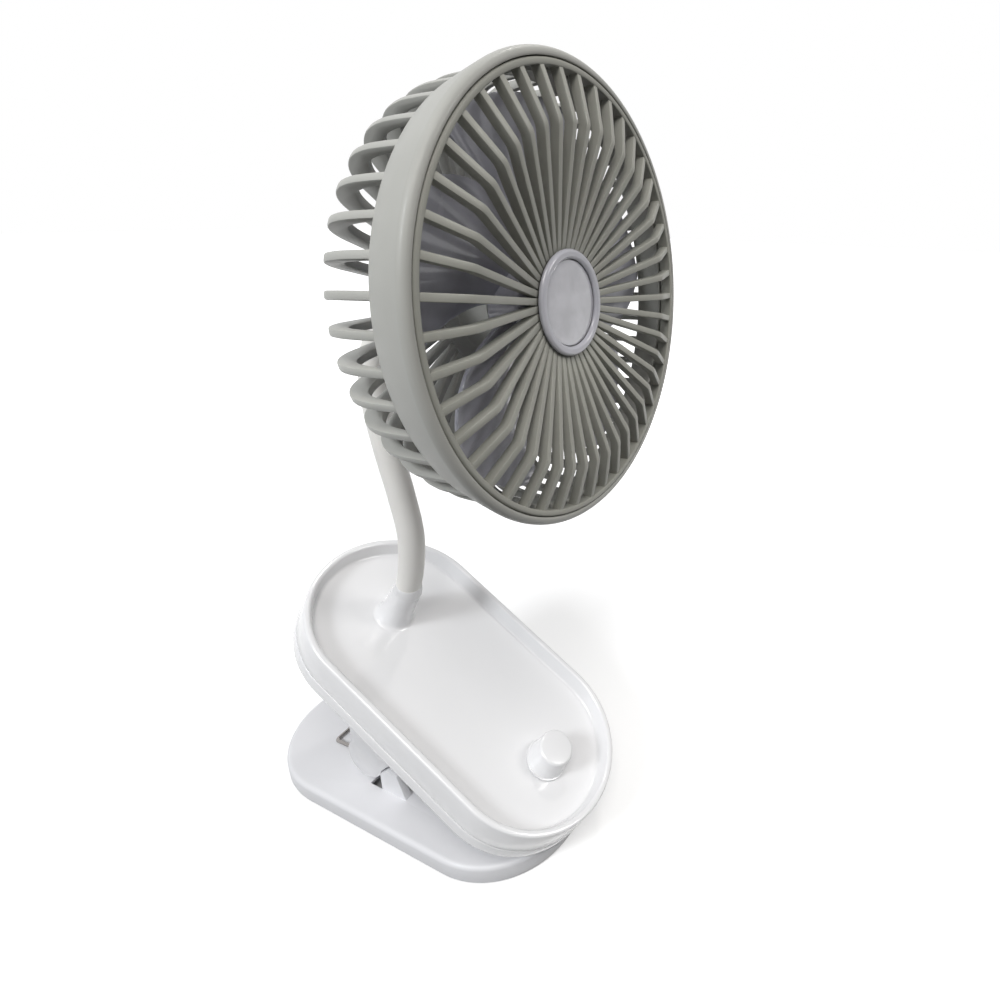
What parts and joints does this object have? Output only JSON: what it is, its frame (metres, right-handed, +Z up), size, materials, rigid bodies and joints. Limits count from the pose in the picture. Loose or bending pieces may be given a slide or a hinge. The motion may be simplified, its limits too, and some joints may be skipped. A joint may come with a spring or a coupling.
{
  "type": "clip fan",
  "caption": "Portable fan on a gooseneck, held by a spring clip whose upper jaw is a battery case with a small tray and a speed knob.",
  "frame": {"origin": "centre of the sole pad's underside, on the surface the clip stands on", "axes": "+X towards the tip of the jaws and the way the fan blows, +Z up, +Y completes the right-handed frame"},
  "size_m": [0.1972, 0.1465, 0.3353],
  "materials": {
    "white_soft": "satin white moulding",
    "white_gloss": "glossy white moulding",
    "rubber_grey": "matt grey rubber",
    "steel": "plain steel",
    "spring_wire": "bright spring wire",
    "black_plastic": "matt black moulding",
    "cell_wrap": "blue shrink film over the cells",
    "board": "green laminate",
    "sleeve": "satin warm white sleeve",
    "grey_plastic": "satin warm grey moulding",
    "lavender_plastic": "glossy light lavender grey moulding"
  },
  "bodies": {
    "lower_jaw": {"lower_jaw_shell": "white_soft", "lower_jaw_cover": "white_soft", "sole_pad": "rubber_grey", "lower_grip_pad": "rubber_grey", "pivot_pin": "steel", "spring_arbor": "black_plastic", "clip_spring": "spring_wire", "jaw_screw_1": "steel", "jaw_screw_2": "steel"},
    "upper_jaw": {"bottom_shell": "white_gloss", "tray_shell": "white_gloss", "upper_grip_pad": "rubber_grey", "battery_pack": "cell_wrap", "circuit_board": "board", "usb_socket": "steel", "potentiometer": "black_plastic", "neck_socket": "white_gloss", "neck_nut": "steel", "case_screw_1": "steel", "case_screw_2": "steel", "case_screw_3": "steel", "case_screw_4": "steel"},
    "knob": {"speed_knob": "white_gloss", "knob_shaft": "steel"},
    "neck_1": {"neck_link_1": "sleeve"},
    "neck_2": {"neck_link_2": "sleeve"},
    "neck_3": {"neck_link_3": "sleeve"},
    "neck_4": {"neck_link_4": "sleeve"},
    "neck_5": {"neck_link_5": "sleeve"},
    "neck_6": {"neck_link_6": "sleeve"},
    "neck_7": {"neck_link_7": "sleeve"},
    "neck_8": {"neck_link_8": "sleeve"},
    "head": {"rear_housing": "grey_plastic", "front_grille": "grey_plastic", "badge_ring": "lavender_plastic", "badge_disc": "lavender_plastic", "motor_can": "steel", "neck_ferrule": "sleeve", "ferrule_nut": "steel"},
    "fan": {"impeller": "lavender_plastic", "motor_shaft": "steel"}
  },
  "joints": [
    {"name": "clip_hinge", "type": "hinge", "parent": "lower_jaw", "child": "upper_jaw", "pos_m": [-0.0195, 0, 0.024], "axis": [0, -1, 0], "range_deg": [0, 40], "stiffness_Nm_per_rad": 1.4, "springref_deg": -28.65, "deforming": ["clip_spring"]},
    {"name": "knob_turn", "type": "hinge", "parent": "upper_jaw", "child": "knob", "pos_m": [0.07515, 0, 0.04477], "axis": [-0.5284, 0, -0.849], "range_deg": [0, 270]},
    {"name": "neck_bend", "type": "hinge", "parent": "upper_jaw", "child": "neck_1", "pos_m": [-0.00408, 0, 0.11352], "axis": [0, 1, 0], "range_deg": [-12, 12]},
    {"name": "neck_sway", "type": "hinge", "parent": "neck_1", "child": "neck_2", "pos_m": [0.00322, -0.00163, 0.13461], "axis": [-0.9742, 0, 0.2259], "range_deg": [-12, 12]},
    {"name": "neck_bend_2", "type": "hinge", "parent": "neck_2", "child": "neck_3", "pos_m": [0.00511, -0.00292, 0.1568], "axis": [0, 1, 0], "range_deg": [-12, 12]},
    {"name": "neck_sway_2", "type": "hinge", "parent": "neck_3", "child": "neck_4", "pos_m": [0.00243, -0.00431, 0.17901], "axis": [-0.9889, 0, -0.1484], "range_deg": [-12, 12]},
    {"name": "neck_bend_3", "type": "hinge", "parent": "neck_4", "child": "neck_5", "pos_m": [-0.00043, -0.00559, 0.2012], "axis": [0, 1, 0], "range_deg": [-12, 12]},
    {"name": "neck_sway_3", "type": "hinge", "parent": "neck_5", "child": "neck_6", "pos_m": [-0.00011, -0.0066, 0.22354], "axis": [-0.9874, 0, 0.1584], "range_deg": [-12, 12]},
    {"name": "neck_bend_4", "type": "hinge", "parent": "neck_6", "child": "neck_7", "pos_m": [0.00923, -0.00717, 0.24363], "axis": [0, 1, 0], "range_deg": [-12, 12]},
    {"name": "neck_sway_4", "type": "hinge", "parent": "neck_7", "child": "neck_8", "pos_m": [0.02768, -0.0072, 0.25589], "axis": [-0.3344, 0, 0.9424], "range_deg": [-12, 12]},
    {"name": "neck_bend_5", "type": "hinge", "parent": "neck_8", "child": "head", "pos_m": [0.04986, -0.00697, 0.25869], "axis": [0, 1, 0], "range_deg": [-12, 12]},
    {"name": "fan_spin", "type": "hinge", "parent": "head", "child": "fan", "pos_m": [0.08276, -0.00823, 0.26088], "axis": [0.9971, -0.0383, 0.0663], "continuous": true}
  ],
  "couplings": [
    {"joint": "neck_bend_2", "follows": "neck_bend", "ratio": 1},
    {"joint": "neck_bend_3", "follows": "neck_bend", "ratio": 1},
    {"joint": "neck_bend_4", "follows": "neck_bend", "ratio": 1},
    {"joint": "neck_bend_5", "follows": "neck_bend", "ratio": 1},
    {"joint": "neck_sway_2", "follows": "neck_sway", "ratio": 1},
    {"joint": "neck_sway_3", "follows": "neck_sway", "ratio": 1},
    {"joint": "neck_sway_4", "follows": "neck_sway", "ratio": 1}
  ]
}
